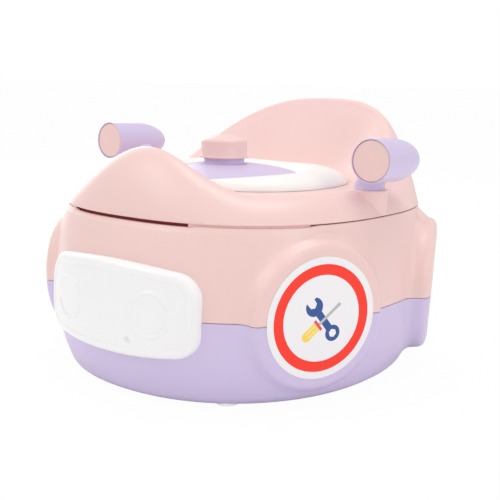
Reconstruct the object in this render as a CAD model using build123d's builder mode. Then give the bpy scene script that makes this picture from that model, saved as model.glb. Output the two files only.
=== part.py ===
from build123d import *
import os
from collections import namedtuple
from math import atan2, cos, degrees, hypot, pi, radians, sin, sqrt

# A child's potty training chair, in millimetres. +Z is up, -Y is the front and the origin lies on
# the floor under the middle of the chair. A lavender tub and a pink upper shell make the body. The
# seat shell, with its splash guard and backrest, hinges at the rear and carries the handles, the
# cushion, the bowl and the lid.

Oval = namedtuple("Oval", "half_x half_y power centre_y")
Spot = namedtuple("Spot", "x y yaw")        # yaw: how far a boss turns from the side towards its end

# ---- walls and clearances ----
wall = 3.0                      # moulded wall of tub, body shell and seat shell
slip = 0.4                      # between parts that slide into each other
rest_gap = 0.3                  # between a soft or lifted part and its seat
pin_play = 0.05                 # between a hinge pin and the knuckle that turns on it

# ---- heights ----
foot_height = 3.0
mid_seam_z = 80.0               # where the tub meets the body shell
rim_z = 162.6                   # top of the body shell
seat_bottom_z = 163.4
pan_z = 186.0                   # flat top of the seat around the opening

# ---- plan outlines ----
base_oval = Oval(157.5, 169.0, 2.16, 0.7)
belly_oval = Oval(172.5, 186.5, 2.3, 3.0)
rim_oval = Oval(164.3, 172.1, 2.43, 7.4)
pan_oval = Oval(116.0, 101.0, 2.3, -12.0)
belly_z = 74.0
bottom_rounding = 9.0
oval_points = 24
ellipse_power = 2.0

# ---- wheel bosses and their labels ----
boss_spots = {-1: Spot(167.5, 93.5, 22.0), 1: Spot(169.4, 95.0, 27.3)}      # front and rear
boss_z = 87.5
boss_tilt = 2.5                 # how far its face looks down
boss_face_radius = 55.0
boss_edge_radius = 14.0
boss_depth = 62.0
label_radius = 53.7
label_thickness = 0.6

# ---- seat skin ----
guard_z = 223.6                 # top of the splash guard
guard_spread = 45.8             # degrees from the front in which it falls to the side rim
guard_shape = 1.045
back_z = 265.5                  # top of the backrest
back_spread = 77.6
back_shape = 1.4
side_z = 186.2
guard_ridge = 0.63              # where the ridge runs, from the outer edge (0) to the pan (1)
side_ridge = 0.43
back_ridge = 0.282
end_bulge = 1.857               # roundness of the outer wall at the guard and the backrest
end_lean = 1.179
side_bulge = 2.2                # and at the sides
side_lean = 1.7
scoop_shape = 0.75

# ---- opening, bowl and lid ----
opening_y = -27.4               # centre of the opening, bowl, lid and knob
opening_half_x = 63.5
opening_half_y = 69.5
bowl_bottom_z = 62.0
bowl_wall = 2.4
bowl_taper = 13.0
bowl_corner = 14.0
flange_overlap = 4.5
bowl_side_gap = 1.2             # between the bowl and the seat's opening
collar_wall = 2.5
collar_depth = 12.0             # of the collar that hangs round the opening
flange_thickness = 2.7
lid_half_x = 70.0
lid_half_y = 76.0
lid_edge_height = 5.2
lid_crown = 9.5
lid_wall = 2.2
neck_radius = 20.0
knob_bottom_z = 208.5
knob_flange_radius = 24.4
knob_radius = 22.6
knob_height = 22.5
knob_flange_height = 1.8
knob_shoulder = 15.0
knob_round = 4.0
knob_core = 6.0
knob_hollow = 18.5
lid_screw_drop = 3.0            # from the inside of the lid's crown to the screw's head

# ---- cushion ----
cushion_height = 13.5
cushion_gap = 1.3               # between the cushion's hole and the lid
cushion_side = 1.5              # between the cushion's foot and the edge of the pan
cushion_roundness = 0.55       # power of the crown's arch: lower is squarer
cushion_lip = 2.0               # height of the cushion's edge around its hole
peg_radius = 3.0
peg_head = 3.0
peg_angles = (-30, 30, 65, 115, 150, 210)

# ---- handles ----
handle_x = 168.0
handle_y = -26.5
handle_z = 216.0
handle_yaw = 2.4
handle_drop = 2.0
handle_radius = 19.7
handle_wall = 2.6
handle_straight = 44.0
handle_length = 85.0
handle_nose = 12.0              # radius of the bar's rounded rear end
cap_radius = 18.5
cap_depth = 7.0
cap_rim = 2.4
post_radius = 14.0
post_x = 147.0
post_y = 8.0
post_top_radius = 11.5
post_foot_radius = 17.6
post_foot_base = 16.6
post_lean_x = 11.0              # how far the post bends out on its way up to the handle
post_lean_y = 2.0
post_levels = (0, 1 / 3, 2 / 3, 1)
post_drop = 4.0                 # from the bar's axis down to the top of the post
post_foot_rise = 1.0
post_spigot_radius = 9.0
post_spigot_length = 12.0

# ---- front panel ----
panel_proud = 8.0
panel_field = 7.2
panel_back = 0.3
panel_half_width = 97.0
panel_bottom_z = 48.0
panel_side_z = 119.5
panel_top_z = 127.0
panel_corner = 20.0
panel_rim = 8.0
lamp_x = 52.8
lamp_z = 85.0
lamp_radius = 20.0
lamp_line = 2.6
lamp_break = 18.0               # degrees from the level at which each lamp ring is broken

panel_peg_radius = 3.0
panel_peg_length = 11.0
panel_peg_x = 70.0
panel_peg_z = (61.0, 104.0)

# ---- rear hinge ----
hinge_offset = 6.4              # from the rear rim of the seat to the pin's axis
knuckle_radius = 4.6
hinge_pin_radius = 2.2
hinge_x = 26.0
knuckle_length = 22.0
ear_length = 6.0
leaf_depth = 12.0               # how far the hinge's gussets reach into the rear walls
leaf_rise = 10.0                # of the seat's gussets above the pin
ear_drop = 16.0                 # of the body's gussets below it

# ---- seam between body and seat ----
finger_gap = 3.0                # at the front, to lift the seat by
lip_gap = 2.0                   # at the front corners, with a locating lip behind it
finger_gap_half_width = 75.0
lip_end_x = 150.0
lip_height = 3.4
lip_wall = 2.0
lip_inset = 4.8
corner_depth = 103.0            # how far back from the front the lips and the lowered rim run

# ---- fasteners, bumpers and feet ----
screw_post_x = 112.0
screw_post_y = 115.0
screw_post_radius = 7.0
post_web = 3.0
web_reach = 0.4                 # length of a post's web as a share of the post's distance from the middle
screw_radius = 2.0
screw_bite = 0.1                # how much smaller than its screw a screw hole is
screw_head_radius = 4.0
screw_head_height = 2.4
screw_grip = 14.0               # how far a screw reaches into the second part
well_floor = 12.0               # plastic under the tub's screw heads, below the seam
spigot_radius = 4.6
spigot_height = 2.5
bumper_seat_z = 157.0
bumper_radius = 5.0
bumper_stem_radius = 2.0
bumper_stem_length = 6.0
seat_pad_radius = 6.0
foot_x = 88.0
foot_y = 122.0
foot_radius = 11.0
foot_socket = 1.2

seat_stations = (0.05, 0.14, 0.26, 0.4, 0.55, 0.7, 0.82, 0.92, 1.0, 1.08, 1.17,
                 1.28, 1.42, 1.6, 1.8, 2.0)
cushion_stations = (0.015, 0.06, 0.15, 0.28, 0.43, 0.58, 0.73, 0.86, 0.95)

# ---- sizes worked out from the ones above ----
hinge_y = rim_oval.centre_y + rim_oval.half_y + hinge_offset
hinge_z = (rim_z + seat_bottom_z) / 2
flange_top_z = pan_z + flange_thickness
lid_bottom_z = flange_top_z + rest_gap
lid_edge_z = lid_bottom_z + lid_edge_height
lid_top_z = lid_edge_z + lid_crown
handle_foot_z = pan_z + post_foot_rise
handle_base_z = handle_foot_z + slip / 4
cushion_foot_z = pan_z + rest_gap
cushion_hole = Oval(lid_half_x + cushion_gap, lid_half_y + cushion_gap, ellipse_power, opening_y)
lid_screw_z = lid_top_z - lid_wall - lid_screw_drop
handle_screw_z = handle_foot_z - post_spigot_length - screw_head_height
cushion_full_width = pan_oval.half_x - cushion_side - cushion_hole.half_x
post_places = [(side * screw_post_x, end * screw_post_y) for side in (-1, 1) for end in (-1, 1)]
foot_places = [(side * foot_x, end * foot_y) for side in (-1, 1) for end in (-1, 1)]
panel_pegs = [(side * panel_peg_x, z) for side in (-1, 1) for z in panel_peg_z]
wheel_places = {"front_left": (-1, -1), "front_right": (1, -1),
                "rear_left": (-1, 1), "rear_right": (1, 1)}


def oval_point(oval, angle, inset=0.0):
    """Point of a superellipse, inset from its edge, at an angle about its centre."""
    half_x = oval.half_x - inset
    half_y = oval.half_y - inset
    reach = (abs(cos(angle) / half_x) ** oval.power
             + abs(sin(angle) / half_y) ** oval.power) ** (-1 / oval.power)
    return reach * cos(angle), oval.centre_y + reach * sin(angle)


def angles():
    return [2 * pi * step / oval_points for step in range(oval_points)]


def mix(start, end, share):
    return start + (end - start) * share


def body_oval(z):
    """Plan outline of the barrel-shaped body at a height."""
    if z >= belly_z:
        share = ((z - belly_z) / (rim_z - belly_z)) ** 2
        target = rim_oval
    else:
        share = ((belly_z - z) / (belly_z - foot_height)) ** 2
        target = base_oval
    return Oval(*(mix(near, far, share) for near, far in zip(belly_oval, target)))


def peg_place(angle):
    """Place of a cushion peg, halfway between the cushion's foot and its hole."""
    outer_x, outer_y = oval_point(pan_oval, radians(angle), cushion_side)
    inner_x, inner_y = oval_point(cushion_hole, radians(angle))
    return mix(outer_x, inner_x, 0.5), mix(outer_y, inner_y, 0.5)


peg_places = [peg_place(angle) for angle in peg_angles]


def closed_curve(points):
    """Closed smooth curve whose points are evenly spaced in its parameter, so that lofts stay light."""
    return Edge.make_spline([Vector(point) for point in points], periodic=True,
                            parameters=[step / len(points) for step in range(len(points) + 1)])


def draw_oval(oval, inset=0.0):
    """Face of a superellipse in the sketch being built."""
    make_face(closed_curve([oval_point(oval, angle, inset) for angle in angles()]))


def barrel(inset, bottom_z, top_z, levels=7):
    """Body skin without its bosses, inset from the outer surface."""
    with BuildPart() as form:
        for level in range(levels):
            z = mix(bottom_z, top_z, level / (levels - 1))
            with BuildSketch(Plane.XY.offset(z)):
                draw_oval(body_oval(z), inset)
        loft()
    return form.part


def boss_plane(side, end):
    """Plane on the face of one wheel boss, looking outwards."""
    spot = boss_spots[end]
    yaw = radians(spot.yaw)
    tilt = radians(boss_tilt)
    outwards = (side * cos(yaw) * cos(tilt), end * sin(yaw) * cos(tilt), -sin(tilt))
    return Plane(origin=(side * spot.x, end * spot.y, boss_z),
                 x_dir=(-side * end * sin(yaw), cos(yaw), 0), z_dir=outwards)


def wheel_boss(inset):
    """Round boss that stands behind a wheel label, with its face on the XY plane."""
    face = boss_face_radius - inset
    edge = boss_edge_radius
    with BuildPart() as boss:
        with BuildSketch(Plane.XZ):
            with BuildLine():
                Line((0, -boss_depth), (0, -inset))
                Line((0, -inset), (face, -inset))
                RadiusArc((face, -inset), (face + edge, -inset - edge), edge)
                Line((face + edge, -inset - edge), (face + edge, -boss_depth))
                Line((face + edge, -boss_depth), (0, -boss_depth))
            make_face()
        revolve(axis=Axis.Z)
    return boss.part


def body_form(inset, bottom_z, top_z, rounding=0.0):
    """Whole body: the barrel with its four bosses."""
    skin = barrel(inset, bottom_z, top_z)
    boss = wheel_boss(inset)
    with BuildPart() as form:
        add(skin)
        if rounding:
            fillet(form.edges().group_by(Axis.Z)[0], rounding)
        with Locations(*[boss_plane(side, end) for side, end in wheel_places.values()]):
            add(boss)
    return form.part


# ---- seat skin: loops that climb the outer wall, cross the ridge and fall into the pan ----

def ridge_share(angle, around, spread, shape):
    """One at a bearing, falling smoothly to nothing within the spread."""
    away = abs((degrees(angle) - around + 180) % 360 - 180)
    return cos(pi / 2 * min((away / spread) ** shape, 1)) ** 2


def seat_point(angle, station, inset=0.0):
    """Point of the seat's surface: station 0 at the seam, 1 on the ridge, 2 at the pan."""
    guard = ridge_share(angle, 270, guard_spread, guard_shape)
    back = ridge_share(angle, 90, back_spread, back_shape)
    ridge_z = side_z + (guard_z - side_z) * guard + (back_z - side_z) * back - inset
    ridge = side_ridge + (guard_ridge - side_ridge) * guard + (back_ridge - side_ridge) * back
    bulge = mix(side_bulge, end_bulge, guard + back)
    lean = mix(side_lean, end_lean, guard + back)
    outer_x, outer_y = oval_point(rim_oval, angle, inset)
    inner_x, inner_y = oval_point(pan_oval, angle, -inset)
    if station <= 1:
        across = ridge * station
        z = mix(seat_bottom_z, ridge_z, (1 - (1 - station) ** bulge) ** (1 / lean))
    else:
        across = mix(ridge, 1, station - 1)
        fall = (station - 1) ** scoop_shape
        z = mix(ridge_z, pan_z - inset, fall * fall * (3 - 2 * fall))
    return mix(outer_x, inner_x, across), mix(outer_y, inner_y, across), z


def loop_solid(loops):
    """Solid through closed loops of points, flat at its first and last loop."""
    return Solid.make_loft([Wire(closed_curve(points)) for points in loops], ruled=True)


def ring_solid(loops):
    """Hollow ring bounded by ruled strips from each loop to the next and from the last to the first."""
    curves = [closed_curve(points) for points in loops]
    strips = [Face.make_surface_from_curves(near, far)
              for near, far in zip(curves, curves[1:] + curves[:1])]
    return Solid(Shell(strips))


def level_loop(oval, z, inset=0.0):
    return [(*oval_point(oval, angle, inset), z) for angle in angles()]


def seat_loops(inset, bottom_z):
    """Loops from the foot of the outer wall, over the ridge and down to the pan."""
    climb = [[seat_point(angle, station, inset) for angle in angles()] for station in seat_stations]
    return [level_loop(rim_oval, bottom_z, inset)] + climb


def cushion_point(angle, across):
    """Point on the cushion's crowned top, from its outer foot (0) to its hole (1)."""
    outer_x, outer_y = oval_point(pan_oval, angle, cushion_side)
    inner_x, inner_y = oval_point(cushion_hole, angle)
    width = hypot(outer_x - inner_x, outer_y - inner_y)
    crown = cushion_height * sqrt(min(width / cushion_full_width, 1))
    return Vector(mix(outer_x, inner_x, across), mix(outer_y, inner_y, across),
                  pan_z + rest_gap + crown * sin(pi * across) ** cushion_roundness)


def body_front_y(x, z=belly_z):
    """Where the body's front surface lies at a place across the chair."""
    oval = body_oval(z)
    return oval.centre_y - oval.half_y * (1 - abs(x / oval.half_x) ** oval.power) ** (1 / oval.power)


def rod(x, y, low_z, high_z, radius, top_radius=None):
    """Upright round post, tapered where it is given a top radius."""
    with BuildPart() as post:
        with BuildSketch(Plane.XY.offset(low_z)):
            with Locations((x, y)):
                Circle(radius)
        if top_radius:
            with BuildSketch(Plane.XY.offset(high_z)):
                with Locations((x, y)):
                    Circle(top_radius)
            loft()
        else:
            extrude(amount=high_z - low_z)
    return post.part


def oval_stack(levels):
    """Smooth loft of ellipses round the opening's centre, each given as (z, half_x, half_y)."""
    with BuildPart() as stack:
        for z, half_x, half_y in levels:
            with BuildSketch(Plane.XY.offset(z)):
                with Locations((0, opening_y)):
                    Ellipse(half_x, half_y)
        loft()
    return stack.part


def screw(head_z, shank_length):
    """Pan-head screw on the Z axis with its head below head_z and its shank above."""
    with BuildPart() as fastener:
        with BuildSketch(Plane.XY.offset(head_z)):
            Circle(screw_head_radius)
        extrude(amount=-screw_head_height)
        fillet(fastener.edges().group_by(Axis.Z)[0], screw_head_height / 2)
        with BuildSketch(Plane.XY.offset(head_z)):
            Circle(screw_radius)
        extrude(amount=shank_length)
        with BuildSketch(Plane.XY.offset(head_z - screw_head_height)):
            Rectangle(screw_head_radius, screw_radius / 3)
            Rectangle(screw_radius / 3, screw_head_radius)
        extrude(amount=screw_head_height / 2, mode=Mode.SUBTRACT)
    return fastener.part


def hinge_leaf(centres, length, outline):
    """Knuckles on the pin's axis, each with a gusset whose outline is given from the axis."""
    with BuildPart() as leaf:
        for centre in centres:
            with BuildSketch(Plane.YZ.offset(centre - length / 2)):
                with Locations((hinge_y, hinge_z)):
                    Circle(knuckle_radius)
                with BuildLine():
                    Polyline([(hinge_y + y, hinge_z + z) for y, z in outline], close=True)
                make_face()
            extrude(amount=length)
    return leaf.part


def opening_plate(outset, low_z, high_z):
    """Flat oval plate round the opening's centre, wider than the opening by an outset."""
    return oval_stack([(z, opening_half_x + outset, opening_half_y + outset) for z in (low_z, high_z)])


def finish(part, name):
    part.label = name
    export_step(part, f"parts/{name}.step")


half_gap = hinge_z - rim_z
knuckle_side = 0.7 * knuckle_radius     # where a gusset meets its knuckle's round
ear_outline = [(-leaf_depth, -ear_drop), (-leaf_depth, -half_gap), (knuckle_radius, -half_gap),
               (knuckle_side, -knuckle_side), (-leaf_depth / 3, -ear_drop)]
knuckle_foot = half_gap + rest_gap
knuckle_outline = [(-leaf_depth, knuckle_foot), (-leaf_depth, leaf_rise), (-leaf_depth / 2, leaf_rise),
                   (knuckle_side, knuckle_side), (knuckle_radius, knuckle_foot)]
ear_shift = (knuckle_length + ear_length) / 2 + slip
hinge_centres = (-hinge_x, hinge_x)
ears = hinge_leaf([centre + shift for centre in hinge_centres for shift in (-ear_shift, ear_shift)],
                  ear_length, ear_outline)
knuckles = hinge_leaf(hinge_centres, knuckle_length, knuckle_outline)
pin_reach = ear_shift + ear_length / 2

os.makedirs("parts", exist_ok=True)
up = (Align.CENTER, Align.CENTER, Align.MIN)
down = (Align.CENTER, Align.CENTER, Align.MAX)

# ================= body: tub and upper shell =================
body_outside = body_form(0, foot_height, rim_z, bottom_rounding)
body_inside = body_form(wall, foot_height + wall, rim_z + wall)
body_middle = body_form(wall / 2, foot_height + wall / 2, rim_z)

with BuildPart() as body_wall:
    add(body_outside)
    add(body_inside, mode=Mode.SUBTRACT)

# Screw posts, each tied to the wall by a web that reaches outwards.
with BuildPart() as posts:
    with BuildSketch(Plane.XY.offset(foot_height + wall / 2)):
        for x, y in post_places:
            with Locations((x, y)):
                Circle(screw_post_radius)
            outwards = 1 + web_reach / 2
            with Locations(Location((x * outwards, y * outwards), degrees(atan2(y, x)))):
                Rectangle(hypot(x, y) * web_reach, post_web)
    extrude(amount=bumper_seat_z - foot_height - wall / 2)
    add(body_middle, mode=Mode.INTERSECT)

with BuildPart() as panel_peg_holes:
    with BuildSketch(Plane.XZ.offset(belly_oval.half_y / 2)):
        with Locations(*panel_pegs):
            Circle(panel_peg_radius + slip / 2)
    extrude(amount=belly_oval.half_y)

with BuildPart() as tub_cuts:
    with Locations(*[(x, y, foot_height) for x, y in post_places]):
        Cylinder(screw_radius + slip / 2, mid_seam_z, align=up)
        Cylinder(screw_head_radius + slip, mid_seam_z - well_floor - foot_height, align=up)
    with Locations(*[(x, y, mid_seam_z) for x, y in post_places]):
        Cylinder(spigot_radius + slip / 2, spigot_height + slip, align=down)
    with Locations(*[(x, y, foot_height) for x, y in foot_places]):
        Cylinder(foot_radius, foot_socket, align=up)
    add(panel_peg_holes.part)

with BuildPart() as base_tub:
    add(body_wall.part)
    split(bisect_by=Plane.XY.offset(mid_seam_z), keep=Keep.BOTTOM)
    add(split(posts.part, bisect_by=Plane.XY.offset(mid_seam_z), keep=Keep.BOTTOM, mode=Mode.PRIVATE))
    add(tub_cuts.part, mode=Mode.SUBTRACT)
finish(base_tub.part, "base_tub")

# Locating lips behind the seam at the two front corners.
lip_low_z = rim_z - lip_gap - 2 * lip_wall
with BuildPart() as corner_zones:
    with BuildSketch(Plane.XY.offset(lip_low_z)):
        for side in (-1, 1):
            with Locations((side * (finger_gap_half_width + lip_end_x) / 2, -rim_oval.half_y)):
                Rectangle(lip_end_x - finger_gap_half_width, 2 * corner_depth)
    extrude(amount=rim_z + lip_height - lip_low_z)

lip_core = barrel(lip_inset + lip_wall, lip_low_z - wall, rim_z + 2 * lip_height, levels=3)
lip_upper = barrel(lip_inset, lip_low_z, rim_z + lip_height, levels=3)
lip_root = barrel(wall / 2, lip_low_z, rim_z - lip_gap, levels=3)
with BuildPart() as lips:
    add(lip_upper)
    add(lip_root)
    add(lip_core, mode=Mode.SUBTRACT)
    add(corner_zones.part, mode=Mode.INTERSECT)
    with Locations(*[(x, y, lip_low_z) for x, y in post_places]):
        Cylinder(seat_pad_radius + slip, 2 * (rim_z - lip_low_z), align=up, mode=Mode.SUBTRACT)

with BuildPart() as shell_cuts:
    with Locations((0, -rim_oval.half_y, rim_z - lip_gap)):
        Box(2 * lip_end_x, 2 * corner_depth, wall, align=up)
    with Locations((0, -rim_oval.half_y, seat_bottom_z - finger_gap)):
        Box(2 * finger_gap_half_width, 2 * corner_depth, wall, align=up)

with BuildPart() as shell_holes:
    with Locations(*[(x, y, mid_seam_z) for x, y in post_places]):
        Cylinder(screw_radius - screw_bite, 2 * screw_grip)
    with Locations(*[(x, y, bumper_seat_z) for x, y in post_places]):
        Cylinder(bumper_stem_radius, bumper_stem_length, align=down)
    with Locations((0, hinge_y, hinge_z)):
        Cylinder(hinge_pin_radius, 4 * hinge_x, rotation=(0, 90, 0))
    add(panel_peg_holes.part)

with BuildPart() as shell_fittings:
    add(split(posts.part, bisect_by=Plane.XY.offset(mid_seam_z), keep=Keep.TOP, mode=Mode.PRIVATE))
    with Locations(*[(x, y, mid_seam_z) for x, y in post_places]):
        Cylinder(spigot_radius, spigot_height, align=down)
    add(lips.part)
    add(ears)

with BuildPart() as body_shell:
    add(body_wall.part)
    split(bisect_by=Plane.XY.offset(mid_seam_z), keep=Keep.TOP)
    add(shell_cuts.part, mode=Mode.SUBTRACT)
    add(shell_fittings.part)
    add(shell_holes.part, mode=Mode.SUBTRACT)
finish(body_shell.part, "body_shell")

with BuildPart() as hinge_pins:
    with Locations(*[(centre, hinge_y, hinge_z) for centre in hinge_centres]):
        Cylinder(hinge_pin_radius, 2 * pin_reach, rotation=(0, 90, 0))
finish(hinge_pins.part, "hinge_pins")

with BuildPart() as base_screws:
    with Locations(*[(x, y, 0) for x, y in post_places]):
        add(screw(mid_seam_z - well_floor, well_floor + screw_grip - slip))
finish(base_screws.part, "base_screws")

with BuildPart() as rubber_feet:
    with Locations(*[(x, y, 0) for x, y in foot_places]):
        Cylinder(foot_radius, foot_height + foot_socket, align=up)
    chamfer(rubber_feet.edges().group_by(Axis.Z)[0], foot_socket)
finish(rubber_feet.part, "rubber_feet")

with BuildPart() as seat_bumpers:
    with Locations(*[(x, y, bumper_seat_z) for x, y in post_places]):
        Cylinder(bumper_radius, seat_bottom_z - bumper_seat_z - slip / 4, align=up)
        Cylinder(bumper_stem_radius, bumper_stem_length - slip, align=down)
    fillet(seat_bumpers.edges().group_by(Axis.Z)[-1], bumper_radius / 4)
finish(seat_bumpers.part, "seat_bumpers")

# ================= front panel =================
def panel_prism(inset):
    """Panel outline, inset from its edge, pushed forwards through the body's front."""
    half_width = panel_half_width - inset
    low_z = panel_bottom_z + inset
    with BuildPart() as prism:
        with BuildSketch(Plane.XZ.offset(belly_oval.half_y / 2)) as outline:
            with BuildLine():
                arc = ThreePointArc((-half_width, panel_side_z - inset), (0, panel_top_z - inset),
                                    (half_width, panel_side_z - inset))
                Polyline(arc @ 1, (half_width, low_z), (-half_width, low_z), arc @ 0)
            make_face()
            fillet(outline.vertices(), max(panel_corner - inset, panel_rim))
        extrude(amount=belly_oval.half_y)
    return prism.part


def front_layer(low, high):
    """Layer that follows the body's front between two heights above its surface."""
    bottom = panel_bottom_z - panel_rim
    top = panel_top_z + panel_rim
    outside = barrel(-high, bottom, top, levels=5)
    inside = barrel(-low, bottom - panel_rim, top + panel_rim, levels=5)
    with BuildPart() as layer:
        add(outside)
        add(inside, mode=Mode.SUBTRACT)
    return layer.part


with BuildPart() as lamp_lines:
    with BuildSketch(Plane.XZ.offset(belly_oval.half_y / 2)):
        for side in (-1, 1):
            with Locations((side * lamp_x, lamp_z)):
                for start in (lamp_break, 180 + lamp_break):
                    with BuildLine(mode=Mode.PRIVATE) as lamp:
                        CenterArc((0, 0), lamp_radius, start, 180 - 2 * lamp_break)
                    SlotArc(lamp.edge(), lamp_line)
    extrude(amount=belly_oval.half_y)

panel_plate = panel_prism(0)
panel_window = panel_prism(panel_rim)
field_layer = front_layer(panel_back, panel_field)
rim_layer = front_layer(panel_back, panel_proud)

with BuildPart() as panel_frame:
    add(rim_layer)
    add(panel_plate, mode=Mode.INTERSECT)
    add(panel_window, mode=Mode.SUBTRACT)

with BuildPart() as lamp_rings:
    add(rim_layer)
    add(lamp_lines.part, mode=Mode.INTERSECT)

peg_front_y = body_front_y(panel_peg_x) - panel_back
with BuildPart() as front_panel:
    add(field_layer)
    add(panel_plate, mode=Mode.INTERSECT)
    add(panel_frame.part)
    add(lamp_rings.part)
    with BuildSketch(Plane.XZ.offset(-peg_front_y - panel_peg_length)):
        with Locations(*panel_pegs):
            Circle(panel_peg_radius)
    extrude(amount=panel_peg_length + wall)
    with BuildSketch(Plane.XZ.offset(-peg_front_y - panel_peg_length)):
        with Locations(*panel_pegs):
            Circle(screw_radius - screw_bite)
    extrude(amount=panel_peg_length - wall, mode=Mode.SUBTRACT)
finish(front_panel.part, "front_panel")

# ================= wheel labels =================
for place, (side, end) in wheel_places.items():
    with BuildPart() as wheel_label:
        with BuildSketch(boss_plane(side, end)):
            Circle(label_radius)
        extrude(amount=label_thickness)
    finish(wheel_label.part, f"wheel_label_{place}")

with BuildPart() as panel_screws:
    for x, z in panel_pegs:
        screw_plane = Plane(origin=(x, peg_front_y + panel_peg_length, z), z_dir=(0, -1, 0))
        with Locations(screw_plane):
            add(screw(0, panel_peg_length - wall - slip))
finish(panel_screws.part, "panel_screws")

# ================= seat shell =================
opening_oval = Oval(opening_half_x, opening_half_y, ellipse_power, opening_y)
collar_bottom_z = pan_z - collar_depth
seat_skin = ring_solid(
    seat_loops(0, seat_bottom_z)
    + [level_loop(opening_oval, pan_z), level_loop(opening_oval, collar_bottom_z),
       level_loop(opening_oval, collar_bottom_z, -collar_wall),
       level_loop(opening_oval, pan_z - wall, -collar_wall)]
    + seat_loops(wall, seat_bottom_z)[::-1])
seat_middle = loop_solid(seat_loops(wall / 2, seat_bottom_z))

with BuildPart() as seat_pads:
    for x, y in post_places:
        add(rod(x, y, seat_bottom_z, back_z, seat_pad_radius))
    add(seat_middle, mode=Mode.INTERSECT)

with BuildPart() as seat_fittings:
    add(seat_pads.part)
    add(knuckles)
    for side in (-1, 1):
        add(rod(side * post_x, post_y, seat_bottom_z + rest_gap, handle_foot_z, post_foot_base,
                post_foot_radius))

with BuildPart() as seat_cuts:
    for side in (-1, 1):
        add(rod(side * post_x, post_y, handle_foot_z - post_spigot_length - slip, handle_foot_z,
                post_spigot_radius + slip / 2))
        add(rod(side * post_x, post_y, seat_bottom_z - wall, handle_foot_z, screw_radius + slip / 2))
        add(rod(side * post_x, post_y, seat_bottom_z - wall, handle_screw_z, screw_head_radius + slip))
    for x, y in peg_places:
        add(rod(x, y, pan_z - 2 * wall, pan_z + wall, peg_radius + slip / 4))
    with Locations((0, hinge_y, hinge_z)):
        Cylinder(hinge_pin_radius + pin_play, 4 * hinge_x, rotation=(0, 90, 0))

with BuildPart() as seat_shell:
    add(seat_skin)
    add(seat_fittings.part)
    add(seat_cuts.part, mode=Mode.SUBTRACT)
finish(seat_shell.part, "seat_shell")

# ================= cushion =================
cushion_arch = [[cushion_point(angle, station) for angle in angles()] for station in cushion_stations]
seat_cushion = ring_solid(
    [level_loop(pan_oval, cushion_foot_z, cushion_side)] + cushion_arch
    + [level_loop(cushion_hole, cushion_foot_z + cushion_lip), level_loop(cushion_hole, cushion_foot_z)])
finish(seat_cushion, "seat_cushion")

with BuildPart() as cushion_pegs:
    for x, y in peg_places:
        add(rod(x, y, pan_z - wall - peg_head, cushion_foot_z, peg_radius))
        add(rod(x, y, pan_z - wall - peg_head, pan_z - wall - slip / 4, peg_radius, peg_radius + slip))
finish(cushion_pegs.part, "cushion_pegs")

# ================= potty bowl =================
bowl_top_x = opening_half_x - bowl_side_gap
bowl_top_y = opening_half_y - bowl_side_gap


def bowl_form(inset, bottom_z, top_z):
    """Tapered oval tub of the bowl, inset from its outer surface, rounded at the bottom."""
    with BuildPart() as form:
        for z in (bottom_z, top_z):
            narrow = inset + bowl_taper * (pan_z - z) / (pan_z - bowl_bottom_z)
            with BuildSketch(Plane.XY.offset(z)):
                with Locations((0, opening_y)):
                    Ellipse(bowl_top_x - narrow, bowl_top_y - narrow)
        loft()
        fillet(form.edges().group_by(Axis.Z)[0], bowl_corner - inset)
    return form.part


with BuildPart() as potty_bowl:
    add(bowl_form(0, bowl_bottom_z, pan_z + flange_thickness / 2))
    add(opening_plate(flange_overlap, pan_z, flange_top_z))
    fillet(potty_bowl.edges().group_by(Axis.Z)[-1], flange_thickness / 3)
    add(bowl_form(bowl_wall, bowl_bottom_z + bowl_wall, flange_top_z + wall), mode=Mode.SUBTRACT)
finish(potty_bowl.part, "potty_bowl")

# ================= lid and knob =================
dome_shares = (1.0, 0.86, 0.66, 0.42, 0.15)


def lid_dome(inset):
    """Crowned top of the lid as a stack of ellipses."""
    return oval_stack([(lid_edge_z - inset + lid_crown * (1 - share ** 2),
                        (lid_half_x - inset) * share, (lid_half_y - inset) * share)
                       for share in dome_shares])


def lid_block(inset, low_z):
    return oval_stack([(low_z, lid_half_x - inset, lid_half_y - inset),
                       (lid_edge_z - inset, lid_half_x - inset, lid_half_y - inset)])


with BuildPart() as lid:
    add(lid_block(0, lid_bottom_z))
    add(lid_dome(0))
    add(rod(0, opening_y, lid_edge_z, knob_bottom_z, neck_radius))
    add(lid_block(lid_wall, lid_bottom_z - wall), mode=Mode.SUBTRACT)
    add(lid_dome(lid_wall), mode=Mode.SUBTRACT)
    add(rod(0, opening_y, lid_screw_z, lid_top_z, screw_head_radius + lid_wall))
    add(rod(0, opening_y, lid_bottom_z, knob_bottom_z + wall, screw_radius + slip / 2),
        mode=Mode.SUBTRACT)
finish(lid.part, "lid")

with BuildPart() as lid_knob:
    with BuildSketch(Plane.XZ):
        with BuildLine():
            Polyline((0, 0), (knob_flange_radius, 0), (knob_flange_radius, knob_flange_height),
                     (knob_radius, knob_flange_height), (knob_radius, knob_shoulder))
            RadiusArc((knob_radius, knob_shoulder),
                      (knob_radius - knob_round, knob_shoulder + knob_round), -knob_round)
            TangentArc((0, knob_height), (knob_radius - knob_round, knob_shoulder + knob_round),
                       tangent=(1, 0))
            Line((0, knob_height), (0, 0))
        make_face()
        with BuildLine():
            Polyline((knob_core, 0), (knob_hollow, 0), (knob_hollow, knob_shoulder),
                     (knob_core, knob_shoulder), close=True)
        make_face(mode=Mode.SUBTRACT)
        with BuildLine():
            Polyline((0, 0), (screw_radius - screw_bite, 0), (screw_radius - screw_bite, screw_grip),
                     (0, screw_grip), close=True)
        make_face(mode=Mode.SUBTRACT)
    revolve(axis=Axis.Z)
finish(lid_knob.part.moved(Location((0, opening_y, knob_bottom_z))), "lid_knob")

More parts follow.
